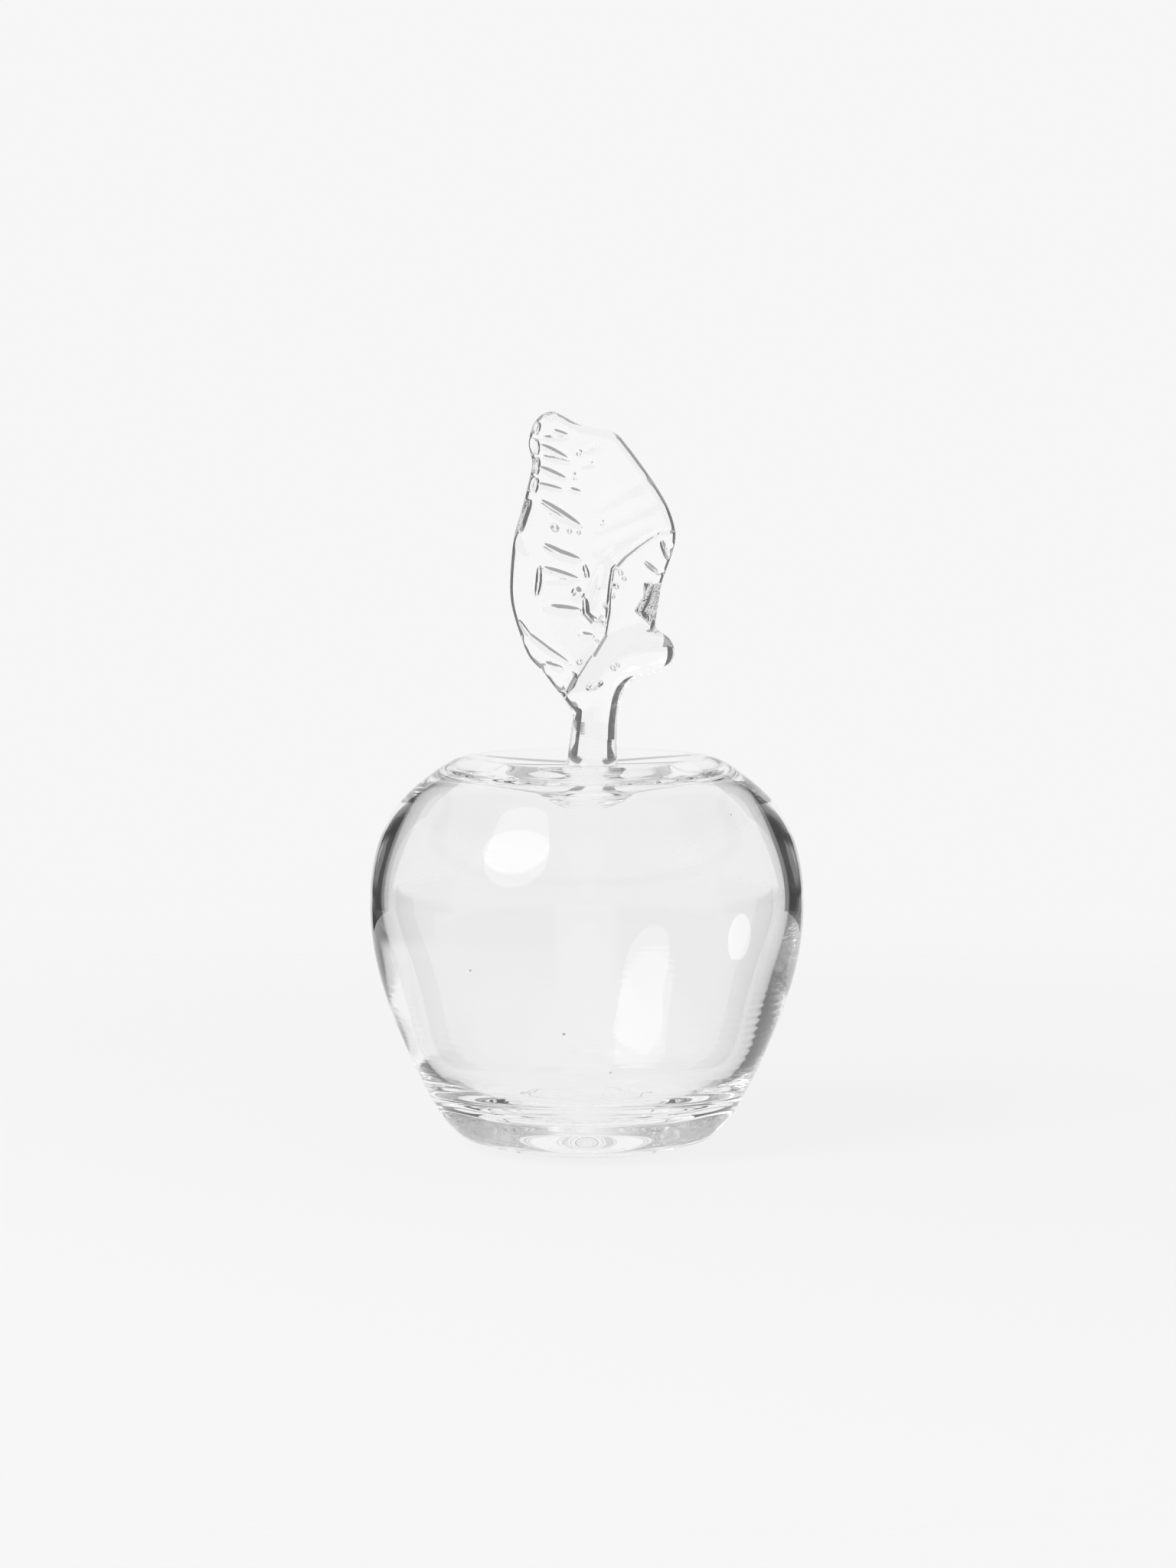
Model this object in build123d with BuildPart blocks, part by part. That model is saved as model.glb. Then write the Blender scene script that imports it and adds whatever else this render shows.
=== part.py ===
# Art glass apple in clear glass, modelled as the five gathers of glass that are fused into it.
# The table is z = 0, the axis of the body is Z, and the face of the leaf looks towards -Y.
import os
from math import cos, pi, radians, sin, sqrt, tan

from build123d import *

os.makedirs("parts", exist_ok=True)

# Driving dimensions in millimetres

# Blown body, outside
body_diameter = 100.0
equator_height = 56.0
rim_diameter = 54.0
rim_rise = 34.5
contact_diameter = 38.0
contact_ring_width = 2.0
contact_slope = 15.0
kick_depth = 2.0

# Fullness of the outline: share of the way (out, up) from the contact ring to the equator
heel_share = (0.332, 0.057)
hip_share = (0.550, 0.209)
flank_share = (0.806, 0.514)
# and share of the way (out, up) from the equator's height at the rim to the widest point and the rim's crest
shoulder_share = (0.696, 0.696)
brow_share = (0.391, 0.881)

# Blown body, wall
floor_thickness = 8.6
floor_flat_diameter = 34.0
floor_flat_rise = 0.3
hip_wall = 5.4
flank_wall = 4.0
equator_wall = 3.0
shoulder_wall = 3.0
rim_wall = 3.8
cavity_crest_shift = 3.0

# Dimple and the neck hole in its floor
dimple_depth = 7.2
dimple_slope = 30.0
under_slope = 34.0
neck_bore = 22.0
neck_wall = 3.1

# Plug of glass that closes the neck and hangs below it
plug_drop = 5.5
plug_end_diameter = 16.8
plug_corner_rise = 1.5

# Stem: a flared foot, a drawn rod and a bent knob
foot_diameter = 23.0
foot_lip = 0.6
foot_flare_height = 6.5
stem_offset = 0.8
stem_foot_diameter = 12.4
stem_diameter = 10.1
stem_rise = 17.7
stem_lean = 1.3
knob_reach = 13.4
knob_rise = 13.7
knob_tilt = 12.0
knob_diameter = 9.4

# Leaf: a pressed blade, wrapped over the bent end of the stem
leaf_length = 67.0
leaf_width = 38.0
leaf_offset = 0.7
leaf_seat_rise = 1.9
leaf_base_thickness = 8.4
leaf_thickness = 6.6
leaf_tip_thickness = 2.8
leaf_lean_back = 4.0

# Outline of the blade: share of its length, then left and right edge as shares of its half width
leaf_outline = [
    (0.00, -0.29, 0.11),
    (0.07, -0.48, 0.19),
    (0.16, -0.77, 0.45),
    (0.26, -0.91, 0.75),
    (0.42, -1.00, 0.83),
    (0.57, -0.95, 1.00),
    (0.73, -0.80, 0.80),
    (0.86, -0.76, 0.50),
    (0.92, -0.76, 0.29),
    (0.96, -0.71, -0.18),
    (1.00, -0.57, -0.40),
]

# Veins pressed into both faces of the blade, and the midrib that they spring from
vein_count = 8
groove_width = 2.4
groove_lift = 0.3
vein_rise = 26.0
vein_reach = 0.80
midrib_gap = 2.0
midrib_base = (0.24, 0.00)
midrib_tip = (0.93, -0.42)

# Tongue of glass folded down over the face of the leaf, and the ridge of the fold beside it
tongue_width = 6.0
tongue_top = (0.50, 0.34)
tongue_end = (0.26, 0.00)
fold_width = 3.0
fold_top = (0.59, 0.90)
fold_end = (0.20, 0.02)

# Pontil scar in the recess of the base
wad_diameter = 29.0
wad_clearance = 0.2
chip_count = 5
chip_depth = 0.35
chip_radius = 5.0

# Places that follow from the sizes
contact_radius = contact_diameter / 2
ring_inner_radius = contact_radius - contact_ring_width
equator_radius = body_diameter / 2
rim_radius = rim_diameter / 2
rim_height = equator_height + rim_rise
seat_height = rim_height - dimple_depth
seat_radius = foot_diameter / 2
neck_radius = neck_bore / 2
neck_foot_height = seat_height - neck_wall
kick_sphere = (ring_inner_radius**2 + kick_depth**2) / (2 * kick_depth)


def lower_point(share):
    across, up = share
    return Vector(contact_radius + across * (equator_radius - contact_radius), up * equator_height)


def upper_point(share):
    across, up = share
    return Vector(rim_radius + across * (equator_radius - rim_radius), equator_height + up * rim_rise)


def inside(before, point, after, wall):
    along = (after - before).normalized()
    return point + Vector(-along.Y, along.X) * wall


def kick_height(radius):
    return kick_depth - kick_sphere + sqrt(kick_sphere**2 - radius**2)


def falling(slope):
    return (-cos(radians(slope)), -sin(radians(slope)))


# Body: one profile turned about the axis, outside from the contact ring up and over the rim, then the cavity
contact_edge = Vector(contact_radius, 0)
heel = lower_point(heel_share)
hip = lower_point(hip_share)
flank = lower_point(flank_share)
equator = Vector(equator_radius, equator_height)
shoulder = upper_point(shoulder_share)
brow = upper_point(brow_share)
crest = Vector(rim_radius, rim_height)

cavity_floor = Vector(0, kick_depth + floor_thickness)
cavity_floor_edge = cavity_floor + Vector(floor_flat_diameter / 2, floor_flat_rise)
cavity_hip = inside(heel, hip, flank, hip_wall)
cavity_flank = inside(hip, flank, equator, flank_wall)
cavity_equator = inside(flank, equator, shoulder, equator_wall)
cavity_shoulder = inside(equator, shoulder, brow, shoulder_wall)
cavity_crest = crest + Vector(cavity_crest_shift, -rim_wall)

with BuildPart() as blown_body:
    with BuildSketch(Plane.XZ):
        with BuildLine():
            ThreePointArc(
                (0, kick_depth),
                (ring_inner_radius / 2, kick_height(ring_inner_radius / 2)),
                (ring_inner_radius, 0),
            )
            Line((ring_inner_radius, 0), contact_edge)
            Spline(
                [contact_edge, heel, hip, flank, equator, shoulder, brow, crest],
                tangents=[(cos(radians(contact_slope)), sin(radians(contact_slope))), (-1, 0)],
                tangent_scalars=[1, 1],
            )
            Spline([crest, (seat_radius, seat_height)], tangents=[(-1, 0), falling(dimple_slope)])
            Line((seat_radius, seat_height), (neck_radius, seat_height))
            Line((neck_radius, seat_height), (neck_radius, neck_foot_height))
            Spline([cavity_crest, (neck_radius, neck_foot_height)], tangents=[(-1, 0), falling(under_slope)])
            Spline(
                [
                    cavity_floor,
                    cavity_floor_edge,
                    cavity_hip,
                    cavity_flank,
                    cavity_equator,
                    cavity_shoulder,
                    cavity_crest,
                ],
                tangents=[(1, 0), (-1, 0)],
                tangent_scalars=[1, 1],
            )
            Line(cavity_floor, (0, kick_depth))
        make_face()
    revolve(axis=Axis.Z)

# Plug: fills the neck flush with the seat and hangs into the cavity
plug_end_height = neck_foot_height - plug_drop

with BuildPart() as closing_plug:
    with BuildSketch(Plane.XZ):
        with BuildLine():
            Line((0, seat_height), (neck_radius, seat_height))
            Line((neck_radius, seat_height), (neck_radius, neck_foot_height))
            Spline(
                (neck_radius, neck_foot_height),
                (plug_end_diameter / 2, plug_end_height + plug_corner_rise),
                (0, plug_end_height),
                tangents=[(-1, -2), (-1, 0)],
                tangent_scalars=[1, 1],
            )
            Line((0, plug_end_height), (0, seat_height))
        make_face()
    revolve(axis=Axis.Z)

# Stem: the foot is turned, the rod is lofted along its centre line, and the knob is rounded off
stem_top_height = seat_height + stem_rise
knob_centre = Vector(stem_offset + stem_lean + knob_reach, 0, stem_top_height + knob_rise)
foot_top_radius = stem_foot_diameter / 2 - stem_offset

with BuildLine(Plane.XZ) as stem_line:
    Spline(
        (stem_offset, seat_height),
        (stem_offset + stem_lean, stem_top_height),
        (knob_centre.X, knob_centre.Z),
        tangents=[(stem_lean, stem_rise), (cos(radians(knob_tilt)), sin(radians(knob_tilt)))],
        tangent_scalars=[1, 1],
    )
rod = stem_line.edge()
rod_sections = [
    (0.04, stem_foot_diameter),
    (0.25, (stem_foot_diameter + stem_diameter) / 2),
    (0.50, stem_diameter),
    (0.67, stem_diameter),
    (0.83, (stem_diameter + knob_diameter) / 2),
    (1.00, knob_diameter),
]

with BuildPart() as stem:
    with BuildSketch(Plane.XZ):
        with BuildLine():
            Line((0, seat_height), (seat_radius, seat_height))
            Line((seat_radius, seat_height), (seat_radius, seat_height + foot_lip))
            Spline(
                (seat_radius, seat_height + foot_lip),
                (foot_top_radius, seat_height + foot_flare_height),
                tangents=[(-1, 0), (0, 1)],
            )
            Line((foot_top_radius, seat_height + foot_flare_height), (0, seat_height + foot_flare_height))
            Line((0, seat_height + foot_flare_height), (0, seat_height))
        make_face()
    revolve(axis=Axis.Z)
    for share, diameter in rod_sections:
        with BuildSketch(Plane(rod @ share, x_dir=(0, 1, 0), z_dir=rod % share)):
            Circle(diameter / 2)
    loft()
    with Locations(knob_centre):
        Sphere(knob_diameter / 2)

# Leaf: a blade lofted through flat ellipses, with its fold and tongue, its veins and its seat on the stem
leaf_base_height = stem_top_height + leaf_seat_rise
half_leaf = leaf_width / 2


def leaf_height(share):
    return leaf_base_height + share * leaf_length


def leaf_place(half_share):
    return stem_offset + leaf_offset + half_share * half_leaf


def blade_thickness(share):
    widest = leaf_outline[4][0]
    if share < widest:
        return leaf_base_thickness + (leaf_thickness - leaf_base_thickness) * share / widest
    return leaf_thickness + (leaf_tip_thickness - leaf_thickness) * (share - widest) / (1 - widest)


def edges_at(share):
    for low, high in zip(leaf_outline, leaf_outline[1:]):
        if share <= high[0]:
            part_way = (share - low[0]) / (high[0] - low[0])
            return [a + (b - a) * part_way for a, b in zip(low[1:], high[1:])]
    return list(leaf_outline[-1][1:])


def vein_spot(root, side, reach):
    climb = reach * half_leaf * tan(radians(vein_rise)) / leaf_length
    return (root[0] + climb, root[1] + side * reach)


def reach_to_edge(root, side):
    near, far = 0.0, 2.0
    while far - near > 0.001:
        reach = (near + far) / 2
        share, half_share = vein_spot(root, side, reach)
        left, right = edges_at(share)
        if share < 1 and left < half_share < right:
            near = reach
        else:
            far = reach
    return near


def rounded_bead(start, end, width):
    run = (end - start).length
    with BuildSketch(Plane(start, x_dir=end - start, z_dir=Vector(0, 1, 0).cross(end - start))) as half_bead:
        with BuildLine():
            EllipticalCenterArc((run / 2, 0), run / 2, width / 2, start_angle=0, arc_size=180)
            Line((0, 0), (run, 0))
        make_face()
    return revolve(half_bead.sketch, axis=Axis(start, end - start), mode=Mode.PRIVATE)


with BuildPart() as leaf:
    for share, left, right in leaf_outline:
        middle = Vector(leaf_place((left + right) / 2), leaf_lean_back * share**2, leaf_height(share))
        with BuildSketch(Plane(middle)):
            Ellipse((right - left) * half_leaf / 2, blade_thickness(share) / 2)
    loft()
    blade = leaf.part

    def on_blade(spot, front, lift):
        share, half_share = spot
        through = Axis((leaf_place(half_share), -leaf_length, leaf_height(share)), (0, 1, 0))
        hits = [hit.Y for skin in blade.faces() for hit, normal in skin.find_intersection_points(through)]
        depth = min(hits) - lift if front else max(hits) + lift
        return Vector(leaf_place(half_share), depth, leaf_height(share))

    for low_end, high_end, width in ((tongue_end, tongue_top, tongue_width), (fold_end, fold_top, fold_width)):
        sunk = -width / 6
        add(rounded_bead(on_blade(low_end, True, sunk), on_blade(high_end, True, sunk), width))

    grooves = []
    for front in (True, False):
        rib_start = on_blade(midrib_base, front, groove_lift)
        rib_end = on_blade(midrib_tip, front, groove_lift)
        grooves.append(rounded_bead(rib_start, rib_end, groove_width))
        for index in range(vein_count):
            along = (index + 0.5) / vein_count
            root = [low + along * (high - low) for low, high in zip(midrib_base, midrib_tip)]
            for side in (-1, 1):
                reach = vein_reach * reach_to_edge(root, side)
                start = on_blade(vein_spot(root, side, midrib_gap / half_leaf), front, groove_lift)
                end = on_blade(vein_spot(root, side, reach), front, groove_lift)
                grooves.append(rounded_bead(start, end, groove_width))
    add(grooves, mode=Mode.SUBTRACT)
    add(stem.part, mode=Mode.SUBTRACT)

# Pontil wad: a button on the recess, its broken face scalloped by shell-like chips
wad_radius = wad_diameter / 2

with BuildPart() as pontil_wad:
    with BuildSketch(Plane.XZ):
        with BuildLine():
            ThreePointArc(
                (0, kick_depth),
                (wad_radius / 2, kick_height(wad_radius / 2)),
                (wad_radius, kick_height(wad_radius)),
            )
            Line((wad_radius, kick_height(wad_radius)), (wad_radius - wad_clearance, wad_clearance))
            Line((wad_radius - wad_clearance, wad_clearance), (0, wad_clearance))
            Line((0, wad_clearance), (0, kick_depth))
        make_face()
    revolve(axis=Axis.Z)
    golden_turn = pi * (3 - sqrt(5))
    for index in range(chip_count):
        distance = wad_radius * sqrt((index + 0.5) / chip_count)
        turn = index * golden_turn
        with Locations((distance * cos(turn), distance * sin(turn), wad_clearance - chip_radius + chip_depth)):
            Sphere(chip_radius, mode=Mode.SUBTRACT)

blown_body.part.label = "blown_body"
closing_plug.part.label = "closing_plug"
stem.part.label = "stem"
leaf.part.label = "leaf"
pontil_wad.part.label = "pontil_wad"

export_step(blown_body.part, "parts/blown_body.step")
export_step(closing_plug.part, "parts/closing_plug.step")
export_step(stem.part, "parts/stem.step")
export_step(leaf.part, "parts/leaf.step")
export_step(pontil_wad.part, "parts/pontil_wad.step")
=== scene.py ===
# Art glass apple in clear glass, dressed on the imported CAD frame
import math

import bmesh
import bpy
import numpy as np
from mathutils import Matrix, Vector


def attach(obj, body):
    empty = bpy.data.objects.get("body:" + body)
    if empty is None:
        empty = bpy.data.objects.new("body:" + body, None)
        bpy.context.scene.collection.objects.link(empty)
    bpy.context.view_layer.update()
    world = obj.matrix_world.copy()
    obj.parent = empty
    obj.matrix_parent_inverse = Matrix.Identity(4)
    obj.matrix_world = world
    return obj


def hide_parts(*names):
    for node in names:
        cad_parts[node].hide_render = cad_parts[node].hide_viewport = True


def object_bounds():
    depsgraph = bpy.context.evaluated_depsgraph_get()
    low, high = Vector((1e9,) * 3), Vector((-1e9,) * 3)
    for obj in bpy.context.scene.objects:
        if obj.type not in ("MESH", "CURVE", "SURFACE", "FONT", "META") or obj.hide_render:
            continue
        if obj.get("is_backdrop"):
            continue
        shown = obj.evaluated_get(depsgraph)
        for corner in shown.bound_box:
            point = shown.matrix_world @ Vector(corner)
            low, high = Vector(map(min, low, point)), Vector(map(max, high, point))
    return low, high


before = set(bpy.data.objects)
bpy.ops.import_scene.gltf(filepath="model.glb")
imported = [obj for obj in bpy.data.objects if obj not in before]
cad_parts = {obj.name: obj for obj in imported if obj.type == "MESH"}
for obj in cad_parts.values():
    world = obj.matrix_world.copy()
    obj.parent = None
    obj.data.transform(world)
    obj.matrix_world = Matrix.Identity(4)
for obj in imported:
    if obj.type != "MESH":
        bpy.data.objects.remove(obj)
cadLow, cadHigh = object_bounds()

scene = bpy.context.scene
mm = 0.001  # the glass is in millimetres, the stage and Blender in metres
print("frame: %d nodes" % len(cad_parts))


# Small helpers

def linearColour(code):
    parts = [int(code[i:i + 2], 16) / 255 for i in (1, 3, 5)]
    return [c / 12.92 if c <= 0.04045 else ((c + 0.055) / 1.055) ** 2.4 for c in parts] + [1.0]


def addNode(tree, kind, settings=None, links=None):
    # a link is a socket, or a node that gives its first output
    node = tree.nodes.new("ShaderNode" + kind)
    for name, value in (settings or {}).items():
        if isinstance(name, int) or name in node.inputs:
            node.inputs[name].default_value = value
        else:
            setattr(node, name, value)
    for name, source in (links or {}).items():
        socket = source.outputs[0] if isinstance(source, bpy.types.Node) else source
        tree.links.new(socket, node.inputs[name])
    return node


def emptyMaterial(name):
    material = bpy.data.materials.new(name)
    material.use_nodes = True
    material.node_tree.nodes.clear()
    return material, material.node_tree


def smoothStep(low, high, value):
    t = np.clip((value - low) / (high - low), 0, 1)
    return t * t * (3 - 2 * t)


def softBand(span, value):
    # rises over the first two values of the span and falls over the last two
    return smoothStep(span[0], span[1], value) * (1 - smoothStep(span[2], span[3], value))


def splineCurve(points, startDir, endDir, step):
    # cubic through the points, with unit tangents at both ends
    p = np.array(points, float)
    h = np.linalg.norm(np.diff(p, axis=0), axis=1)
    n = len(p)
    lhs = np.zeros((n, n))
    rhs = np.zeros((n, p.shape[1]))
    lhs[0, 0] = lhs[-1, -1] = 1
    rhs[0] = np.array(startDir, float) / np.linalg.norm(startDir)
    rhs[-1] = np.array(endDir, float) / np.linalg.norm(endDir)
    for i in range(1, n - 1):
        lhs[i, i - 1:i + 2] = h[i], 2 * (h[i - 1] + h[i]), h[i - 1]
        rhs[i] = 3 * (h[i] / h[i - 1] * (p[i] - p[i - 1]) + h[i - 1] / h[i] * (p[i + 1] - p[i]))
    d = np.linalg.solve(lhs, rhs)
    out = []
    for i in range(n - 1):
        t = np.linspace(0, 1, max(2, int(h[i] / step)) + 1)[:-1, None]
        out.append((2 * t ** 3 - 3 * t ** 2 + 1) * p[i] + (t ** 3 - 2 * t ** 2 + t) * h[i] * d[i]
                   + (3 * t ** 2 - 2 * t ** 3) * p[i + 1] + (t ** 3 - t ** 2) * h[i] * d[i + 1])
    out.append(p[-1:])
    return np.concatenate(out)


def straight(start, end, step):
    run = math.dist(start, end)
    t = np.linspace(0, 1, max(1, int(run / step)) + 1)[:, None]
    return np.array(start) * (1 - t) + np.array(end) * t


def slopeDir(degrees):
    return (-math.cos(math.radians(degrees)), -math.sin(math.radians(degrees)))


def joinRuns(runs):
    # runs of (points, finish) become one profile and the finish of each step along it
    rows, finishes = [runs[0][0][:1]], []
    for points, finish in runs:
        rows.append(points[1:])
        finishes += [finish] * (len(points) - 1)
    return np.concatenate(rows), np.array(finishes)


def turnProfile(profile, columns):
    # a profile from pole to pole, turned about Z: points and faces, the poles first and last
    rows = profile[1:-1]
    turn = np.arange(columns) * 2 * math.pi / columns
    ring = np.stack([np.outer(rows[:, 0], np.cos(turn)), np.outer(rows[:, 0], np.sin(turn)),
                     np.repeat(rows[:, 1:2], columns, 1)], -1).reshape(-1, 3)
    points = np.concatenate([[(0, 0, profile[0, 1])], ring, [(0, 0, profile[-1, 1])]])
    here = np.arange(columns)
    there = (here + 1) % columns
    faces = [(0, 1 + b, 1 + a) for a, b in zip(here, there)]
    for row in range(len(rows) - 1):
        low, high = 1 + row * columns, 1 + (row + 1) * columns
        faces += list(zip(low + here, low + there, high + there, high + here))
    last = 1 + (len(rows) - 1) * columns
    faces += [(last + a, last + b, len(points) - 1) for a, b in zip(here, there)]
    return points, faces


def bubble(centre, radius, squeeze, tilt, columns=18, rows=11):
    # a closed hollow in the glass, so its faces look inwards
    arc = np.linspace(-math.pi / 2, math.pi / 2, rows)
    points, faces = turnProfile(np.stack([np.cos(arc) * radius, np.sin(arc) * radius], 1), columns)
    points = points * np.array(squeeze)
    c, s = math.cos(math.radians(tilt)), math.sin(math.radians(tilt))
    points = points @ np.array([(c, 0, s), (0, 1, 0), (-s, 0, c)]) + np.array(centre)
    return points, [tuple(reversed(f)) for f in faces]


def addHollows(points, faces, hollows):
    for centre, radius, squeeze, tilt in hollows:
        more, moreFaces = bubble(centre, radius, squeeze, tilt)
        faces = faces + [tuple(i + len(points) for i in f) for f in moreFaces]
        points = np.concatenate([points, more])
    return points, faces


def makePiece(name, points, faces, materials, finishes, node):
    mesh = bpy.data.meshes.new(name)
    mesh.from_pydata((np.asarray(points) * mm).tolist(), [], [tuple(int(i) for i in f) for f in faces])
    for material in materials:
        mesh.materials.append(material)
    finishes = np.asarray(finishes, dtype=np.int32)
    mesh.polygons.foreach_set("material_index", finishes)
    mesh.polygons.foreach_set("use_smooth", finishes == 0)  # seams stay flat
    mesh.update()
    piece = bpy.data.objects.new(name, mesh)
    scene.collection.objects.link(piece)
    # clear glass lets the light through, and the stage's faint shade dims the table instead
    piece.visible_shadow = False
    piece.visible_diffuse = False
    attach(piece, "root")
    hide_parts(node)
    print("%s: %d points, %d faces" % (name, len(mesh.vertices), len(mesh.polygons)))
    return piece


# Materials

def clearGlass(name, look):
    # clear soda-lime glass: the eye sees what is behind it bent, the grazing edges darker by a painted
    # shade that stands for the longer way through the glass and the dark room round it, and the faint waves
    # of work by hand
    material, tree = emptyMaterial(name)
    place = addNode(tree, "TexCoord")
    waves = addNode(tree, "TexNoise", {"Scale": 1 / (look["waveSize"] * mm), "Detail": 2.0},
                    {"Vector": place.outputs["Object"]})
    bump = addNode(tree, "Bump",
                   {"Strength": look["waveStrength"], "Distance": look["waveHeight"] * mm},
                   {"Height": waves.outputs["Fac"]})
    smears = addNode(tree, "TexNoise", {"Scale": 1 / (look["smearSize"] * mm), "Detail": 4.0},
                     {"Vector": place.outputs["Object"]})
    polish = addNode(tree, "MapRange",
                     {"From Min": look["smearSpan"][0], "From Max": look["smearSpan"][1],
                      "To Min": look["roughLow"], "To Max": look["roughHigh"]},
                     {"Value": smears.outputs["Fac"]})
    # painted shade: the glass takes the darker edge colour where it is seen at a grazing angle
    grazing = addNode(tree, "LayerWeight")
    edge = addNode(tree, "MapRange",
                   {"interpolation_type": "SMOOTHSTEP", "From Min": look["edgeStart"], "From Max": 1.0},
                   {"Value": grazing.outputs["Facing"]})
    clearAndEdgeShade = addNode(tree, "Mix",
                   {"data_type": "RGBA", 6: linearColour(look["clear"]), 7: linearColour(look["edge"])},
                   {0: edge})
    shader = addNode(tree, "BsdfPrincipled", {"IOR": look["ior"], "Transmission Weight": 1.0},
                     {"Base Color": clearAndEdgeShade.outputs[2], "Roughness": polish, "Normal": bump})
    addNode(tree, "OutputMaterial", None, {"Surface": shader})
    return material


# sizes and heights of waves and smears in millimetres
# edge is the colour of the painted shade at grazing angles, here and in the looks below
blownLook = {"clear": "#FDFDFD", "edge": "#D2D3D3", "edgeStart": 0.80, "ior": 1.5,
             "waveSize": 22, "waveStrength": 0.25, "waveHeight": 0.06,
             "smearSize": 9, "smearSpan": (0.45, 0.8), "roughLow": 0.0, "roughHigh": 0.01}
drawnLook = dict(blownLook, clear="#FEFEFE", waveSize=9, waveHeight=0.04, smearSize=6)
pressedLook = dict(blownLook, clear="#FEFEFE", waveSize=5, waveStrength=0.3, waveHeight=0.05,
                   smearSize=4, roughHigh=0.02)
brokenLook = dict(blownLook, clear="#F8F9F9", edge="#B6B9B9", waveSize=1.6, waveStrength=0.5, waveHeight=0.08,
                  smearSize=1.2, roughLow=0.02, roughHigh=0.2)

blownGlass = clearGlass("clear soda-lime glass, free-blown", blownLook)
drawnGlass = clearGlass("clear soda-lime glass, hand-drawn", drawnLook)
pressedGlass = clearGlass("clear soda-lime glass, pressed", pressedLook)
brokenGlass = clearGlass("clear soda-lime glass, broken", brokenLook)


def fusedSeam(name):
    # two gathers fused hot have no surface between them, so nothing is seen where they meet
    material, tree = emptyMaterial(name)
    shader = addNode(tree, "BsdfPrincipled", {"Base Color": linearColour("#FCFEFD"), "Alpha": 0.0})
    addNode(tree, "OutputMaterial", None, {"Surface": shader})
    return material


seam = fusedSeam("glass fused to glass")
print("materials: %d" % len(bpy.data.materials))


# Blown body: the bubble with its dimple, thick base and resting ring

body = {
    "columns": 240,
    "step": 0.42, "ringStep": 0.25, "seamStep": 1.0,  # along the profile
    "contact": (19.0, 0.0), "ringInner": 17.0, "kick": 2.0, "contactSlope": 15.0,
    "heel": (29.29, 3.19), "hip": (36.05, 11.70), "flank": (43.99, 28.78), "equator": (50.0, 56.0),
    "shoulder": (43.01, 80.01), "brow": (35.99, 86.39), "crest": (27.0, 90.5),
    "floor": 10.6, "dome": (9.0, 10.65), "trough": (17.0, 10.9),
    "hipWall": 5.4, "flankWall": 4.0, "equatorWall": 3.0, "shoulderWall": 3.0,
    "cavityCrest": (30.0, 86.7), "cavityShift": -0.27, "shiftFrom": (8.5, 16.0),
    "seatRadius": 11.5, "seatHeight": 83.3, "dimpleSlope": 30.0,
    "neckRadius": 11.0, "neckFoot": 80.2, "underSlope": 34.0,
    "rippleLength": 1.8, "rippleHeight": 0.012, "rippleSpan": (10.0, 15.0, 33.0, 45.0),
    "rippleEven": 0.6, "rippleRight": 0.4, "rippleDrift": 0.35,
    "finerShare": 0.6, "finerLength": 0.57, "finerSway": 2.4,  # a finer ripple, in shares of the first
    # swing, waves round, start and climb with height
    "sway": [(1.3, 2, 0.7, 0.0), (0.9, 5, 2.1, 0.11), (0.5, 11, 0.3, 0.0)],
    "wobble": 0.10, "wobbleSpan": (8, 40, 70, 88), "inset": 0.1, "insetSpan": (40, 56, 56, 72),
    # photo place and radius of each seed, and how deep they lie
    "seeds": [(738, 1315, 0.30), (621, 1237, 0.22), (948, 1049, 0.22), (796, 1367, 0.25)],
    "seedDepth": 1.4, "seedSqueeze": (1, 1, 1.2),
}
wad = {"radius": 14.5, "bottom": 0.2, "hub": 0.1, "bevel": 0.5, "chips": 6, "chipSpread": 9.0,
       "chipDepth": 0.25, "chipRadius": 2.6, "thinnest": 0.1, "columns": 180, "step": 0.16, "seamStep": 0.8}
photoScale = 5.67  # photo pixels in one millimetre at the axis
photoAxis, photoRim = 766.5, 985.5  # the photo's column of the axis and row of the rim


def photoPlace(across, down):
    return (across - photoAxis) / photoScale, body["crest"][1] + (photoRim - down) / photoScale


kickSphere = (body["ringInner"] ** 2 + body["kick"] ** 2) / (2 * body["kick"])


def kickHeight(radius):
    return body["kick"] - kickSphere + np.sqrt(kickSphere ** 2 - np.asarray(radius, float) ** 2)


def insidePoint(before, point, after, wall):
    along = np.array(after) - np.array(before)
    along = along / np.linalg.norm(along)
    return np.array(point) + np.array((-along[1], along[0])) * wall


def kickRun(low, high, step):
    r = np.linspace(low, high, max(2, int((high - low) / step)) + 1)
    return np.stack([r, kickHeight(r)], 1)


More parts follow.
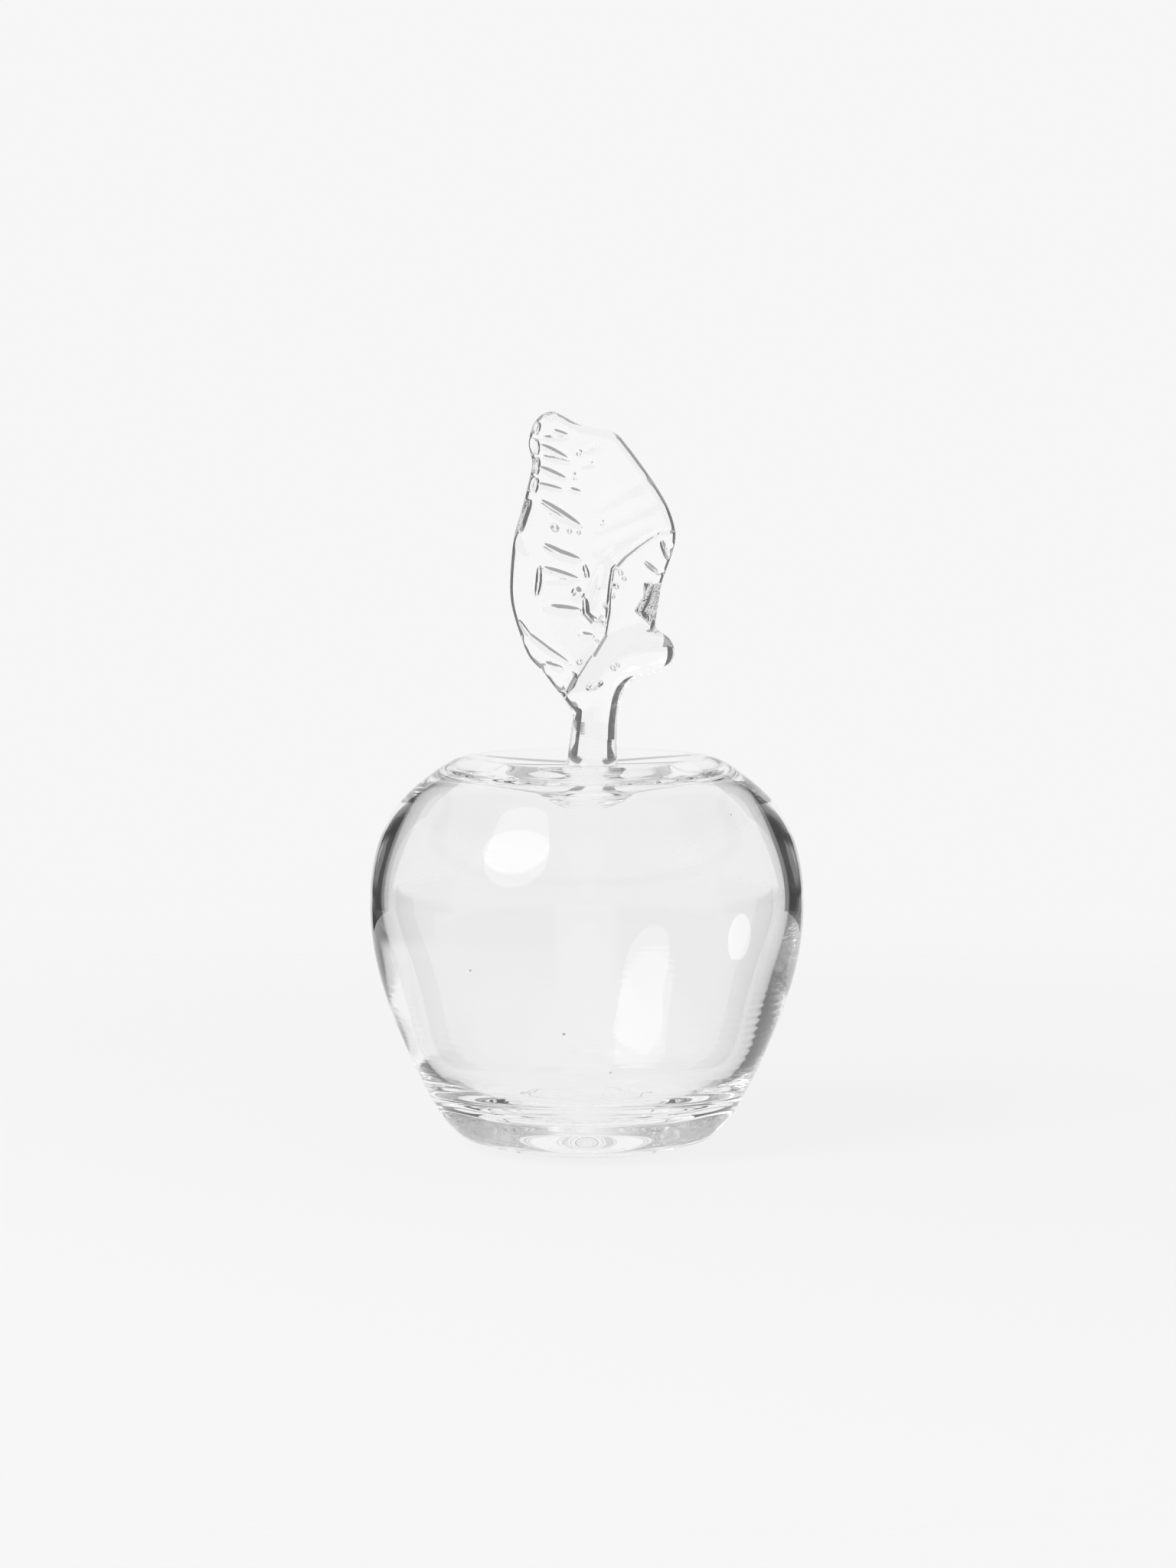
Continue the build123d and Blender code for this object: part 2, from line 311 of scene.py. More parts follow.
outerPoints = [body[k] for k in ("contact", "heel", "hip", "flank", "equator", "shoulder", "brow", "crest")]
innerPoints = [
    (0, body["kick"] + body["floor"]), body["dome"], body["trough"],
    insidePoint(body["heel"], body["hip"], body["flank"], body["hipWall"]),
    insidePoint(body["hip"], body["flank"], body["equator"], body["flankWall"]),
    insidePoint(body["flank"], body["equator"], body["shoulder"], body["equatorWall"]),
    insidePoint(body["equator"], body["shoulder"], body["brow"], body["shoulderWall"]),
    body["cavityCrest"],
]
rise = (math.cos(math.radians(body["contactSlope"])), math.sin(math.radians(body["contactSlope"])))
seatEdge = (body["seatRadius"], body["seatHeight"])
neckTop = (body["neckRadius"], body["seatHeight"])
neckFoot = (body["neckRadius"], body["neckFoot"])
step = body["step"]
runs = [
    (kickRun(0, wad["radius"], step), 1),
    (kickRun(wad["radius"], body["ringInner"], step), 0),
    (straight((body["ringInner"], 0), body["contact"], body["ringStep"]), 0),
    (splineCurve(outerPoints, rise, (-1, 0), step), 0),
    (splineCurve([body["crest"], seatEdge], (-1, 0), slopeDir(body["dimpleSlope"]), step), 0),
    (straight(seatEdge, neckTop, body["seamStep"]), 1),
    (straight(neckTop, neckFoot, body["seamStep"]), 1),
    (splineCurve([body["cavityCrest"], neckFoot], (-1, 0), slopeDir(body["underSlope"]), step)[::-1], 0),
    (splineCurve(innerPoints, (1, 0), (-1, 0), step)[::-1], 0),
]
outerRows = sum(len(points) - 1 for points, finish in runs[:5])
cavityStart = sum(len(points) - 1 for points, finish in runs[:7])
profile, rowFinish = joinRuns(runs)
points, faces = turnProfile(profile, body["columns"])
columns = body["columns"]
turn = np.tile(np.arange(columns) * 2 * math.pi / columns, len(profile) - 2)
rowOf = np.repeat(np.arange(1, len(profile) - 1), columns)
skin = points[1:-1]
height = skin[:, 2]

# chill ripples from the block on the lower half of the outside, stronger on the right
outside = rowOf <= outerRows
zone = softBand(body["rippleSpan"], height)
sway = sum(swing * np.sin(waves * turn + start + climb * height)
           for swing, waves, start, climb in body["sway"])
swell = body["rippleEven"] + body["rippleRight"] * np.cos(turn)
swell += body["rippleDrift"] * np.sin(height * 0.31 + 3 * turn)
phase = 2 * math.pi * height / body["rippleLength"]
ripple = zone * swell * np.sin(phase + sway)
ripple += body["finerShare"] * zone * np.sin(phase / body["finerLength"] + body["finerSway"] * sway)
ripple *= body["rippleHeight"] * outside
# the free-blown bubble isn't quite round, and its cavity sits a little to the left
wobble = body["wobble"] * np.cos(2 * turn + 0.5) * softBand(body["wobbleSpan"], height)
inset = body["inset"] * outside * softBand(body["insetSpan"], height)  # keeps the girth inside the solid's
radius = np.hypot(skin[:, 0], skin[:, 1])
push = ripple + wobble - inset
skin[:, 0] += push * np.cos(turn)
skin[:, 1] += push * np.sin(turn)
cavity = (rowOf > cavityStart) * smoothStep(*body["shiftFrom"], radius)
skin[:, 0] += body["cavityShift"] * cavity
points[1:-1] = skin

seeds = []
outline = splineCurve(outerPoints, rise, (-1, 0), step)
for across, down, size in body["seeds"]:
    x, z = photoPlace(across, down)
    reach = np.interp(z, outline[:, 1], outline[:, 0]) - body["seedDepth"]
    seeds.append(((x, -math.sqrt(reach ** 2 - x ** 2), z), size, body["seedSqueeze"], 0))
bodyFinish = np.repeat(rowFinish, columns)
points, faces = addHollows(points, faces, seeds)
bodyFinish = np.concatenate([bodyFinish, np.zeros(len(faces) - len(bodyFinish), int)])
makePiece("blown_bubble", points, faces, [blownGlass, seam], bodyFinish, "blown_body")


# Plug: the dab of glass that closes the neck and sags into the cavity

plug = {"endRadius": 8.0, "end": 75.4, "sag": 0.7, "sagShare": 0.8, "bulge": 0.5, "bulgeRise": 0.9,
        "lobes": 0.35, "ledge": 0.5, "ledgeHeight": 77.6, "ledgeWidth": 0.45, "free": (78.6, 80.0),
        "columns": 150, "step": 0.2}
domePoints = [
    (0, plug["end"] - plug["sag"]),
    (plug["endRadius"] * plug["sagShare"], plug["end"] - plug["sag"] / 2),
    (plug["endRadius"] + plug["bulge"], plug["end"] + plug["bulgeRise"]),
    neckFoot,
]
plugProfile, plugRows = joinRuns([
    (splineCurve(domePoints, (1, 0), (0.5, 1), plug["step"]), 0),
    (straight(neckFoot, neckTop, body["seamStep"]), 1),
    (straight(neckTop, (0, body["seatHeight"]), body["seamStep"]), 1),
])
points, faces = turnProfile(plugProfile, plug["columns"])
# the tool left it lobed, with a ledge part way up
around, height = np.arctan2(points[:, 1], points[:, 0]), points[:, 2]
free = 1 - smoothStep(*plug["free"], height)
swell = plug["lobes"] * (0.6 * np.sin(3 * around + 0.6) + 0.4 * np.sin(5 * around + 2.0 + 0.9 * height))
ledge = plug["ledge"] * np.exp(-((height - plug["ledgeHeight"]) / plug["ledgeWidth"]) ** 2)
ledge = ledge * (0.6 + 0.4 * np.sin(2 * around + 1))
reach = np.maximum(np.hypot(points[:, 0], points[:, 1]), 1)
points[:, :2] *= (1 + free * (swell - ledge) / reach)[:, None]
plugFinish = np.repeat(plugRows, plug["columns"])
makePiece("neck_plug", points, faces, [blownGlass, seam], plugFinish, "closing_plug")


# Pontil wad: the broken button that the punty left in the recess

rimHeight = float(kickHeight(wad["radius"]))
hubEdge = (wad["hub"], wad["bottom"])
bevelEdge = (wad["radius"] - wad["bevel"], wad["bottom"])
wadProfile, wadRows = joinRuns([
    (np.array([(0, wad["bottom"]), hubEdge]), 0),
    (straight(hubEdge, bevelEdge, wad["step"]), 0),
    (straight(bevelEdge, (wad["radius"], rimHeight), wad["step"]), 0),
    (kickRun(0, wad["radius"], wad["seamStep"])[::-1], 1),
])
points, faces = turnProfile(wadProfile, wad["columns"])
# chips spread as seeds are in a flower head, with their sizes mixed
scoop = np.zeros(len(points))
goldenTurn = math.pi * (3 - math.sqrt(5))
for chip in range(wad["chips"]):
    away = wad["chipSpread"] * math.sqrt((chip + 0.3) / wad["chips"])
    size = wad["chipRadius"] * (0.7 + 0.6 * ((chip * 0.618) % 1))
    centre = np.array((away * math.cos(chip * goldenTurn), away * math.sin(chip * goldenTurn)))
    gap = np.clip(size ** 2 - ((points[:, :2] - centre) ** 2).sum(1), 0, None)
    scoop = np.maximum(scoop, np.sqrt(gap) - size + wad["chipDepth"])
seat = kickHeight(np.hypot(points[:, 0], points[:, 1]))
under = points[:, 2] < seat - wad["thinnest"] / 2
room = np.clip(seat - wad["thinnest"] - points[:, 2], 0, None)
points[under, 2] += np.minimum(scoop, room)[under]
wadFinish = np.repeat(wadRows, wad["columns"])
makePiece("pontil_scar", points, faces, [brokenGlass, seam], wadFinish, "pontil_wad")


# Stem and leaf: one hot crown of glass, shaped as a field of distances and parted where the leaf was stuck on

stem = {
    "footRadius": 11.5, "footFall": 2.2, "footHeight": 13.0, "coreInset": 0.4, "coreFade": (3, 13),
    "footShift": (0, 4), "footSoften": 0.9, "footBlend": 1.5,
    "line": [(1.06, 86.0), (1.5, 94.6), (2.1, 101.0), (3.9, 107.8), (9.2, 113.0), (15.4, 114.7)],
    "lineStart": (0.05, 1), "lineEnd": (1, 0.2), "lineStep": 0.5,
    "radii": (6.1, 5.1, 5.0, 4.75), "radiiAt": (0, 0.35, 0.7, 1),  # along the line, from the foot to the knob
    "bubble": ((777, 891), -1.5, (2.1, 1.6, 1.1), 35.0),  # photo place, depth, half sizes, tilt
}
leaf = {
    "outline": [
        (-2.9, 102.4), (-6.3, 105.2), (-9.6, 109.5), (-13.3, 113.7), (-15.8, 120.0), (-17.5, 126.4),
        (-17.6, 133.0), (-16.7, 141.2), (-14.9, 147.6), (-13.4, 153.6), (-12.6, 158.1), (-13.4, 162.4),
        (-12.4, 166.6), (-10.4, 169.0), (-7.9, 169.8), (-5.2, 168.6), (-1.2, 166.6), (6.0, 165.0),
        (8.9, 162.4), (13.7, 156.0), (16.5, 151.8), (18.8, 147.6), (20.4, 142.0), (19.5, 137.0),
        (17.2, 130.6), (16.4, 126.4), (15.4, 121.5), (13.0, 117.5), (8.0, 112.5), (2.5, 106.0),
    ],
    "leanBack": 4.0, "base": 102.9, "length": 67.0, "veinWiden": 1.25,
    "halves": (4.2, 3.3, 2.3), "halvesAt": (0, 0.42, 1.0),  # half thickness from the base to the tip
    "edgeRadius": 2.4, "edgeMost": 0.9, "edgeShare": 0.86, "crownRun": 8.0, "outlineSteps": 6,
    "strokeEnds": 0.35,  # how wide a stroke's ends are, in shares of its middle
    # strokes pressed by the jaws: half width and depth, then the photo places along each
    "veins": [
        (0.40, 0.60, (720, 560), (744, 568)), (0.40, 0.65, (704, 571), (743, 569)),
        (0.45, 0.80, (706, 579), (743, 598)), (0.40, 0.60, (708, 594), (746, 602)),
        (0.45, 0.85, (704, 608), (740, 624)), (0.40, 0.60, (700, 629), (736, 638)),
        (0.40, 0.55, (742, 636), (760, 641)), (0.55, 1.10, (706, 651), (760, 686)),
        (0.40, 0.70, (717, 666), (748, 681)), (0.60, 1.05, (709, 708), (732, 720), (759, 729)),
        (0.50, 0.90, (708, 738), (757, 754)), (0.40, 0.60, (714, 756), (757, 753)),
        (0.50, 1.25, (705, 735), (704, 755), (701, 775)), (0.60, 1.00, (709, 789), (759, 794)),
        (0.45, 0.70, (755, 824), (776, 827)), (0.50, 0.75, (711, 862), (736, 870)),
        (0.40, 0.70, (754, 593), (759, 586)), (0.50, 0.45, (763, 589), (781, 578)),
        (0.50, 0.45, (759, 608), (778, 602)), (0.40, 0.65, (749, 615), (752, 625)),
        (0.40, 0.60, (785, 684), (788, 677)), (0.50, 0.50, (790, 726), (803, 711)),
        (1.60, 0.22, (775, 664), (852, 618)), (1.70, 0.25, (775, 692), (862, 652)),
        (1.60, 0.25, (772, 720), (856, 678)),
        # the rim that the veins end in, and the rolled left edge
        (0.50, 1.20, (704, 550), (700, 566)), (0.45, 1.20, (701, 572), (702, 592)),
        (0.45, 1.30, (703, 596), (701, 618)), (0.45, 1.20, (702, 622), (698, 642)),
        (0.70, 1.50, (693, 650), (684, 672), (679, 692)), (0.60, 1.20, (712, 543), (726, 538)),
        (0.60, 0.70, (681, 692), (689, 722)),
        # the line of the back lobe, and the crease under it
        (0.45, 0.80, (678, 806), (692, 826), (717, 845), (746, 864)), (0.70, 1.20, (751, 874), (738, 900)),
        # round the tongue
        (0.45, 1.00, (763, 734), (768, 752)), (0.90, 1.20, (748, 766), (762, 776)),
        (0.50, 1.10, (763, 776), (765, 797), (775, 808), (789, 811)),
    ],
    # the crease of the fold, and how far the glass beyond it stands proud
    "crease": (0.34, 0.62, (879, 689), (860, 692), (844, 702), (832, 710), (814, 724), (800, 740), (797, 760),
               (794, 797), (789, 826), (774, 850)),
    "foldLift": 0.5, "foldRun": 1.0, "dentRun": 1.5, "backDents": 0.3,
    # the pinched notch by the right edge, and its soft border
    "notch": [(0.5, 1.3, (863, 703), (872, 727)), (0.4, 0.9, (841, 730), (861, 747))],
    "notchOutline": [(841, 757), (862, 759), (860, 775), (848, 811), (829, 794), (841, 775)],
    "notchEdge": (0.15, -0.25), "toothPitch": 2.0, "toothDepth": 2.8, "toothTilt": 0.45, "toothBend": 795,
    "tongue": [(4.6, 133.0), (3.6, 129.0), (1.9, 124.0)], "tongueRadii": (2.2, 2.7, 2.7),
    "tongueLift": 1.2, "tongueBlend": 1.2,
    "roll": [(14.4, 131.0), (13.8, 126.0), (13.2, 121.6)], "rollRadii": (2.4, 2.4, 2.4), "rollBlend": 0.8,
    # air trapped in the glass: photo place, radius
    "beads": [
        (810, 745, 0.70), (815, 753, 0.55), (804, 762, 0.75), (798, 775, 0.80), (789, 788, 0.85),
        (783, 800, 0.45), (725, 687, 0.95), (744, 691, 0.60), (756, 693, 0.50), (757, 861, 0.75),
        (800, 868, 0.60), (806, 864, 0.45), (779, 833, 0.40), (783, 766, 0.30),
    ],
    "beadDepth": 1.0, "beadSpread": 0.7, "beadSqueeze": (1.0, 0.8, 1.25), "beadTilt": 25,
}
crown = {"cell": (0.26, 0.5, 0.26), "blend": 3.6, "low": (-19.4, -12.4, 82.4), "high": (22.2, 12.4, 171.4),
         "cutPoint": (-3.0, 0.0, 102.4), "cutNormal": (-1.0, 0.0, 1.0), "mapStep": 0.1, "mapLow": 98.0,
         "draw": 0.15, "draws": 3, "nudge": 0.05}

rodLine = splineCurve(stem["line"], stem["lineStart"], stem["lineEnd"], stem["lineStep"])
rodShare = np.linspace(0, 1, len(rodLine))
rodRadius = np.interp(rodShare, stem["radiiAt"], stem["radii"])


def closedCurve(points, perSpan):
    p = np.array(points, float)
    before, after, later = np.roll(p, 1, 0), np.roll(p, -1, 0), np.roll(p, -2, 0)
    t = np.linspace(0, 1, perSpan, endpoint=False)[None, :, None]
    a, b, c, d = (q[:, None, :] for q in (before, p, after, later))
    curve = 0.5 * (2 * b + (c - a) * t + (2 * a - 5 * b + 4 * c - d) * t ** 2
                   + (3 * b - a - 3 * c + d) * t ** 3)
    return curve.reshape(-1, 2)


leafEdge = closedCurve(leaf["outline"], leaf["outlineSteps"])


def outlineDistance(x, z, edge):
    # signed distance to a closed outline, below zero inside
    flat = np.stack([x.ravel(), z.ravel()], 1)
    best = np.full(len(flat), 1e9)
    crossings = np.zeros(len(flat), int)
    for a, b in zip(edge, np.roll(edge, -1, 0)):
        run = b - a
        t = np.clip(((flat - a) @ run) / (run @ run), 0, 1)
        best = np.minimum(best, ((flat - a - t[:, None] * run) ** 2).sum(1))
        if a[1] != b[1]:
            between = (a[1] <= flat[:, 1]) != (b[1] <= flat[:, 1])
            crossings += between & (flat[:, 0] < a[0] + (flat[:, 1] - a[1]) / run[1] * run[0])
    return (np.sqrt(best) * np.where(crossings % 2, -1, 1)).reshape(x.shape)


def blendUnion(a, b, k):
    h = np.clip(0.5 + 0.5 * (b - a) / k, 0, 1)
    return b + (a - b) * h - k * h * (1 - h)


def chainDistance(x, y, z, line, radii):
    best = None
    for a, b, ra, rb in zip(line[:-1], line[1:], radii[:-1], radii[1:]):
        run = b - a
        t = np.clip(((x - a[0]) * run[0] + (y - a[1]) * run[1] + (z - a[2]) * run[2]) / (run @ run), 0, 1)
        gaps = [(at - start - t * along) ** 2 for at, start, along in zip((x, y, z), a, run)]
        away = np.sqrt(sum(gaps)) - ra - (rb - ra) * t
        best = away if best is None else np.minimum(best, away)
    return best


def leafMiddle(z):
    return leaf["leanBack"] * np.clip((z - leaf["base"]) / leaf["length"], 0, 1) ** 2


def leafHalf(z):
    share = (z - leaf["base"]) / leaf["length"]
    return np.interp(share, leaf["halvesAt"], leaf["halves"])


def strokeDepth(x, z, strokes):
    # spindle-shaped dents along the strokes, deepest in the middle of each
    total = np.zeros_like(x)
    for width, depth, *places in strokes:
        line = np.array([photoPlace(*p) for p in places])
        runs = np.linalg.norm(np.diff(line, axis=0), axis=1)
        reached = np.concatenate([[0], np.cumsum(runs)]) / runs.sum()
        best, along = np.full(x.shape, 1e9), np.zeros(x.shape)
        for i, run in enumerate(np.diff(line, axis=0)):
            t = np.clip(((x - line[i, 0]) * run[0] + (z - line[i, 1]) * run[1]) / (run @ run), 0, 1)
            gap = (x - line[i, 0] - t * run[0]) ** 2 + (z - line[i, 1] - t * run[1]) ** 2
            along = np.where(gap < best, reached[i] + t * (reached[i + 1] - reached[i]), along)
            best = np.minimum(best, gap)
        spindle = np.sqrt(np.clip(1 - (2 * along - 1) ** 2, 0, 1))
        reach = width * (leaf["strokeEnds"] + (1 - leaf["strokeEnds"]) * spindle)
        total = np.maximum(total, depth * spindle * np.exp(-best / reach ** 2))
    return total


def notchDepth(x, z):
    # the bent teeth the jaws left in the pinched notch, each deepest at its right
    corners = np.array([photoPlace(*p) for p in leaf["notchOutline"]])
    inside = smoothStep(*leaf["notchEdge"], outlineDistance(x, z, corners))
    bend = photoPlace(0, leaf["toothBend"])[1]
    rise = ((x - leaf["toothTilt"] * np.abs(z - bend)) / leaf["toothPitch"]) % 1.0
    return leaf["toothDepth"] * inside * rise


def foldSide(x, z):
    # 1 on the glass beyond the crease of the fold, 0 before it
    line = np.array([photoPlace(*p) for p in leaf["crease"][2:]])
    best, side = np.full(x.shape, 1e9), np.zeros(x.shape)
    for a, b in zip(line[:-1], line[1:]):
        run = b - a
        t = np.clip(((x - a[0]) * run[0] + (z - a[1]) * run[1]) / (run @ run), 0, 1)
        gap = (x - a[0] - t * run[0]) ** 2 + (z - a[1] - t * run[1]) ** 2
        turnSide = run[0] * (z - a[1]) - run[1] * (x - a[0])
        side = np.where(gap < best, np.sign(turnSide), side)
        best = np.minimum(best, gap)
    return smoothStep(0, leaf["foldRun"], side * np.sqrt(best))


def onFront(places, lift):
    # places on the leaf's front face, given as across and up
    return np.array([(x, float(leafMiddle(z)) - float(leafHalf(z)) + lift, z) for x, z in places])


tongueLine = onFront(leaf["tongue"], leaf["tongueLift"])
rollLine = np.array([(x, float(leafMiddle(z)), z) for x, z in leaf["roll"]])
rodLine3d = np.stack([rodLine[:, 0], np.zeros(len(rodLine)), rodLine[:, 1]], 1)


def crownField(x, y, z, edgeDistance, lift):
    # stem: the flared foot below, the drawn and bent rod above
    up = np.clip(z - body["seatHeight"], -1, None)
    spread = np.exp(-up / stem["footFall"])
    core = stem["radii"][0] - stem["coreInset"]
    flare = core * (1 - smoothStep(*stem["coreFade"], up)) + (stem["footRadius"] - core) * spread
    shift = rodLine[0, 0] * smoothStep(*stem["footShift"], up)
    foot = (np.hypot(x - shift, y) - flare) / (1 + stem["footSoften"] * spread)
    foot = foot + np.clip(up - stem["footHeight"], 0, None)
    rod = np.full(x.shape, 50.0)  # far from the glass
    near = z < rodLine[-1, 1] + 12  # the rod's distance matters only here
    rod[near] = chainDistance(x[near], y[near], z[near], rodLine3d, rodRadius)
    field = blendUnion(rod, foot, stem["footBlend"])
    # leaf: a plate with round edges and crowned faces, standing proud beyond the fold
    crowned = smoothStep(0, leaf["crownRun"], -edgeDistance)
    half = leafHalf(z) * (leaf["edgeShare"] + (1 - leaf["edgeShare"]) * crowned)
    side = y - leafMiddle(z)
    edge = np.minimum(leaf["edgeRadius"], half * leaf["edgeMost"])
    acrossGap = edgeDistance + edge
    depthGap = np.abs(side) - half + edge - lift * np.clip(-side, 0, 1)
    plate = np.minimum(np.maximum(acrossGap, depthGap), 0) - edge
    plate = plate + np.hypot(np.maximum(acrossGap, 0), np.maximum(depthGap, 0))
    field = blendUnion(field, plate, crown["blend"])
    field = blendUnion(field, chainDistance(x, y, z, rollLine, leaf["rollRadii"]), leaf["rollBlend"])
    return blendUnion(field, chainDistance(x, y, z, tongueLine, leaf["tongueRadii"]), leaf["tongueBlend"])


def pressedField(x, y, z, edgeDistance, lift, dents):
    # the dents are full on the face and shallow on the back
    front = np.clip(-(y - leafMiddle(z)) / leaf["dentRun"], -1, 1)
    share = np.where(front > 0, front, -leaf["backDents"] * front)
    return crownField(x, y, z, edgeDistance, lift) + dents * share


def surfaceNet(values, low, cell):
    # one point in each cell that the surface crosses, and one face across each crossed grid edge
    inside = values < 0
    shape = np.array(values.shape) - 1
    corners = np.array([(i, j, k) for i in (0, 1) for j in (0, 1) for k in (0, 1)])
    filled = np.zeros(shape, np.int8)
    for i, j, k in corners:
        filled += inside[i:i + shape[0], j:j + shape[1], k:k + shape[2]]
    active = (filled > 0) & (filled < 8)
    cells = np.argwhere(active)
    index = np.full(shape, -1)
    index[active] = np.arange(len(cells))
    total, count = np.zeros((len(cells), 3)), np.zeros(len(cells))
    for start in corners:
        for axis in range(3):
            if start[axis]:
                continue
            va = values[tuple((cells + start).T)]
            vb = values[tuple((cells + start + np.eye(3, dtype=int)[axis]).T)]
            crossed = (va < 0) != (vb < 0)
            share = np.where(crossed, va / np.where(crossed, va - vb, 1), 0)
            total += np.where(crossed[:, None], start + share[:, None] * np.eye(3)[axis], 0)
            count += crossed
    points = low + cell * (cells + total / count[:, None])
    faces = []
    for axis in range(3):
        b, c = (axis + 1) % 3, (axis + 2) % 3
        first, second = [slice(None)] * 3, [slice(None)] * 3
        first[axis], second[axis] = slice(0, -1), slice(1, None)
        here = inside[tuple(first)]
        where = np.argwhere(here != inside[tuple(second)])
        for side in (b, c):
            where = where[(where[:, side] > 0) & (where[:, side] < shape[side])]
        quad = []
        for db, dc in ((-1, -1), (0, -1), (0, 0), (-1, 0)):
            cellAt = where.copy()
            cellAt[:, b] += db
            cellAt[:, c] += dc
            quad.append(index[tuple(cellAt.T)])
        quad = np.stack(quad, 1)
        inwards = ~here[tuple(where.T)]
        quad[inwards] = quad[inwards][:, ::-1]
        faces.append(quad)
    return points, np.concatenate(faces)


cell, low, high = (np.array(crown[k]) for k in ("cell", "low", "high"))
axes = [np.arange(low[i], high[i], cell[i]) for i in range(3)]
# flat maps of the leaf's outline, fold and dents, read by every point of the crown
mapX = np.arange(low[0] - 1, high[0] + 1, crown["mapStep"])
mapZ = np.arange(crown["mapLow"], high[2] + 1, crown["mapStep"])
gridX, gridZ = np.meshgrid(mapX, mapZ, indexing="ij")
veins = [(leaf["veinWiden"] * width, *rest) for width, *rest in leaf["veins"]]
strokes = veins + [leaf["crease"]] + leaf["notch"]
allDents = np.maximum(strokeDepth(gridX, gridZ, strokes), notchDepth(gridX, gridZ))
folds = leaf["foldLift"] * foldSide(gridX, gridZ)
maps = np.stack([outlineDistance(gridX, gridZ, leafEdge), folds, allDents], -1)


def readMaps(x, z):
    u = np.clip((x - mapX[0]) / crown["mapStep"], 0, len(mapX) - 1.001)
    v = np.clip((z - mapZ[0]) / crown["mapStep"], 0, len(mapZ) - 1.001)
    i, j = u.astype(int), v.astype(int)
    s, t = (u - i)[..., None], (v - j)[..., None]
    below = maps[i, j] * (1 - s) + maps[i + 1, j] * s
    above = maps[i, j + 1] * (1 - s) + maps[i + 1, j + 1] * s
    return below * (1 - t) + above * t


def fieldAt(p):
    x, y, z = p.T
    edgeDistance, lift, dents = np.moveaxis(readMaps(x, z), -1, 0)
    below = np.clip(mapZ[0] - z, 0, None)
    return pressedField(x, y, z, edgeDistance + below, lift, dents)


def fieldSlope(p):
    nudges = crown["nudge"] * np.eye(3)
    return np.stack([(fieldAt(p + n) - fieldAt(p - n)) / (2 * crown["nudge"]) for n in nudges], 1)


flatX, flatZ = np.meshgrid(axes[0], axes[2], indexing="ij")
layers = []
for y in axes[1]:
    layer = fieldAt(np.stack([flatX.ravel(), np.full(flatX.size, y), flatZ.ravel()], 1))
    layers.append(layer.reshape(flatX.shape))
crownPoints, crownFaces = surfaceNet(np.stack(layers, 1), low, cell)
# the net's points are drawn onto the surface, a little at a time
for again in range(crown["draws"]):
    base, slope = fieldAt(crownPoints), fieldSlope(crownPoints)
    move = -base[:, None] * slope / np.maximum((slope ** 2).sum(1), 0.1)[:, None]
    crownPoints = crownPoints + np.clip(move, -crown["draw"], crown["draw"])
print("crown: %d points, %d faces" % (len(crownPoints), len(crownFaces)))


def crownPiece(name, planes, hollows, materials, node):
    # the crown kept on the far side of each plane, each cut closed by a seam
    mesh = bpy.data.meshes.new("crown")
    mesh.from_pydata(crownPoints.tolist(), [], crownFaces.tolist())
    work = bmesh.new()
    work.from_mesh(mesh)
    seams = []
    for point, normal in planes:
        cutOut = bmesh.ops.bisect_plane(work, geom=work.verts[:] + work.edges[:] + work.faces[:], dist=1e-5,
                                        plane_co=point, plane_no=normal, clear_inner=True)
        edges = [e for e in cutOut["geom_cut"] if isinstance(e, bmesh.types.BMEdge)]
        filled = bmesh.ops.triangle_fill(work, use_beauty=False, use_dissolve=False, edges=edges,
                                         normal=-Vector(normal))
        seams += [f for f in filled["geom"] if isinstance(f, bmesh.types.BMFace)]
    for face in work.faces:
        face.material_index = 0
    for face in seams:
        if face.is_valid:
            face.material_index = 1
    bmesh.ops.recalc_face_normals(work, faces=work.faces[:])
    work.to_mesh(mesh)
    work.free()
    points = np.array([v.co for v in mesh.vertices])
    faces = [tuple(p.vertices) for p in mesh.polygons]
    finishes = [p.material_index for p in mesh.polygons]
    bpy.data.meshes.remove(mesh)
    skinPoints = len(points)
    slope = fieldSlope(points)
    normals = slope / np.linalg.norm(slope, axis=1)[:, None]
    points, faces = addHollows(points, faces, hollows)
    finishes += [0] * (len(faces) - len(finishes))
    piece = makePiece(name, points, faces, materials, finishes, node)
    shading = np.array([n.vector for n in piece.data.vertex_normals])
    shading[:skinPoints] = normals
    piece.data.normals_split_custom_set_from_vertices(shading.tolist())


parting = (crown["cutPoint"], crown["cutNormal"])
partingBack = (crown["cutPoint"], tuple(-n for n in crown["cutNormal"]))
footPlane = ((0, 0, body["seatHeight"]), (0, 0, 1))
beads = []
for number, (across, down, size) in enumerate(leaf["beads"]):
    x, z = photoPlace(across, down)
    depth = float(leafMiddle(z)) - leaf["beadDepth"] + leaf["beadSpread"] * math.sin(number * 2.3)
    beads.append(((x, depth, z), size, leaf["beadSqueeze"], leaf["beadTilt"]))
place, depth, halfSizes, tilt = stem["bubble"]
x, z = photoPlace(*place)
trapped = [((x, depth, z), 1.0, halfSizes, tilt)]
crownPiece("drawn_stem", [footPlane, partingBack], trapped, [drawnGlass, seam], "stem")
crownPiece("pressed_leaf", [parting], beads, [pressedGlass, seam], "leaf")


# Stage: pale table, white surround, dark cards far to both sides, a large round softbox and a small one

# clear glass is seen by what stands round it, so the stage darkens for rays by their way through the glass
rayRules = {
    "shoulderTurns": (7, 11),  # turns in the wall of rays that pass the cards, between short and long runs
    "longShare": 0.75, "bentShare": 0.5,  # how dark it is to long runs, and to turns under the neck
    "solidGrey": 0.66,  # how dark to straight ways through the stem and leaf
    "frontShare": 0.35,  # how dark in front of the apple
}
